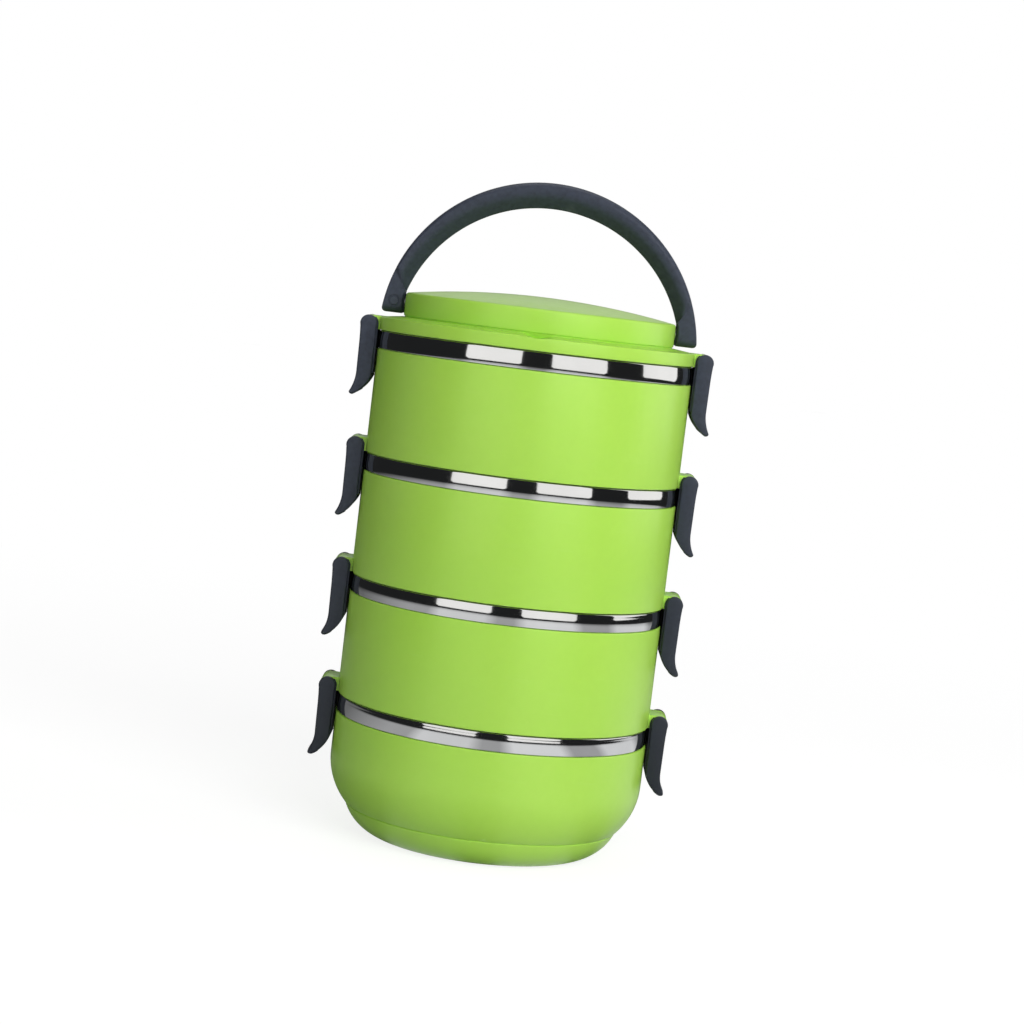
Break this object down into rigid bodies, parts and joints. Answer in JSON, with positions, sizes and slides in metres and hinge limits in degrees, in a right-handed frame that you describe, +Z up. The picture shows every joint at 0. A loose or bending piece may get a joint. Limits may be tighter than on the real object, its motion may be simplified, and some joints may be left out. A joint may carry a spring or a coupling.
{
  "type": "tiffin carrier",
  "caption": "Stacked tiffin carrier: round bowls with polished steel rims in coloured plastic shells, held by side latches, with a domed lid and a folding bail handle.",
  "frame": {"origin": "centre of the base ring, on the surface that the carrier stands on", "axes": "+Z up the stack, +X to the right-hand latches, -Y to the front with the lid's finger scoop"},
  "size_m": [0.1668, 0.1458, 0.3085],
  "materials": {
    "green_plastic": "satin-gloss moulded polypropylene, lime green",
    "slate_plastic": "fine matt moulded plastic, dark slate",
    "polished_steel": "mirror-polished stainless steel, satin inside the bowl",
    "silicone": "translucent white silicone",
    "pin_steel": "drawn steel wire"
  },
  "bodies": {
    "tier_1": {"bowl_shell_1": "green_plastic", "steel_bowl_1": "polished_steel"},
    "tier_2": {"bowl_shell_2": "green_plastic", "steel_bowl_2": "polished_steel", "tier_seal_2": "silicone", "latch_pin_right_1": "pin_steel", "latch_pin_left_1": "pin_steel"},
    "tier_3": {"bowl_shell_3": "green_plastic", "steel_bowl_3": "polished_steel", "tier_seal_3": "silicone", "latch_pin_right_2": "pin_steel", "latch_pin_left_2": "pin_steel"},
    "tier_4": {"bowl_shell_4": "green_plastic", "steel_bowl_4": "polished_steel", "tier_seal_4": "silicone", "latch_pin_right_3": "pin_steel", "latch_pin_left_3": "pin_steel"},
    "lid": {"lid_shell": "green_plastic", "lid_seal": "silicone", "handle_pin_right": "pin_steel", "handle_pin_left": "pin_steel", "latch_pin_right_4": "pin_steel", "latch_pin_left_4": "pin_steel"},
    "carry_handle": {"handle": "slate_plastic"},
    "latch_right_1_body": {"latch_right_1": "slate_plastic"},
    "latch_left_1_body": {"latch_left_1": "slate_plastic"},
    "latch_right_2_body": {"latch_right_2": "slate_plastic"},
    "latch_left_2_body": {"latch_left_2": "slate_plastic"},
    "latch_right_3_body": {"latch_right_3": "slate_plastic"},
    "latch_left_3_body": {"latch_left_3": "slate_plastic"},
    "latch_right_4_body": {"latch_right_4": "slate_plastic"},
    "latch_left_4_body": {"latch_left_4": "slate_plastic"}
  },
  "joints": [
    {"name": "tier_2_lift", "type": "slide", "parent": "tier_1", "child": "tier_2", "axis": [0, 0, 1], "range_m": [0, 0.06]},
    {"name": "tier_3_lift", "type": "slide", "parent": "tier_2", "child": "tier_3", "axis": [0, 0, 1], "range_m": [0, 0.06]},
    {"name": "tier_4_lift", "type": "slide", "parent": "tier_3", "child": "tier_4", "axis": [0, 0, 1], "range_m": [0, 0.06]},
    {"name": "lid_lift", "type": "slide", "parent": "tier_4", "child": "lid", "axis": [0, 0, 1], "range_m": [0, 0.06]},
    {"name": "latch_right_1_hinge", "type": "hinge", "parent": "tier_2", "child": "latch_right_1_body", "pos_m": [0.07745, 0, 0.0669], "axis": [0, -1, 0], "range_deg": [0, 110]},
    {"name": "latch_left_1_hinge", "type": "hinge", "parent": "tier_2", "child": "latch_left_1_body", "pos_m": [-0.07745, 0, 0.0669], "axis": [0, 1, 0], "range_deg": [0, 110]},
    {"name": "latch_right_2_hinge", "type": "hinge", "parent": "tier_3", "child": "latch_right_2_body", "pos_m": [0.07745, 0, 0.123], "axis": [0, -1, 0], "range_deg": [0, 110]},
    {"name": "latch_left_2_hinge", "type": "hinge", "parent": "tier_3", "child": "latch_left_2_body", "pos_m": [-0.07745, 0, 0.123], "axis": [0, 1, 0], "range_deg": [0, 110]},
    {"name": "latch_right_3_hinge", "type": "hinge", "parent": "tier_4", "child": "latch_right_3_body", "pos_m": [0.07745, 0, 0.1791], "axis": [0, -1, 0], "range_deg": [0, 110]},
    {"name": "latch_left_3_hinge", "type": "hinge", "parent": "tier_4", "child": "latch_left_3_body", "pos_m": [-0.07745, 0, 0.1791], "axis": [0, 1, 0], "range_deg": [0, 110]},
    {"name": "latch_right_4_hinge", "type": "hinge", "parent": "lid", "child": "latch_right_4_body", "pos_m": [0.07745, 0, 0.2352], "axis": [0, -1, 0], "range_deg": [0, 110]},
    {"name": "latch_left_4_hinge", "type": "hinge", "parent": "lid", "child": "latch_left_4_body", "pos_m": [-0.07745, 0, 0.2352], "axis": [0, 1, 0], "range_deg": [0, 110]},
    {"name": "handle_hinge", "type": "hinge", "parent": "lid", "child": "carry_handle", "pos_m": [0, 0, 0.2468], "axis": [1, 0, 0], "range_deg": [-38, 38]}
  ]
}
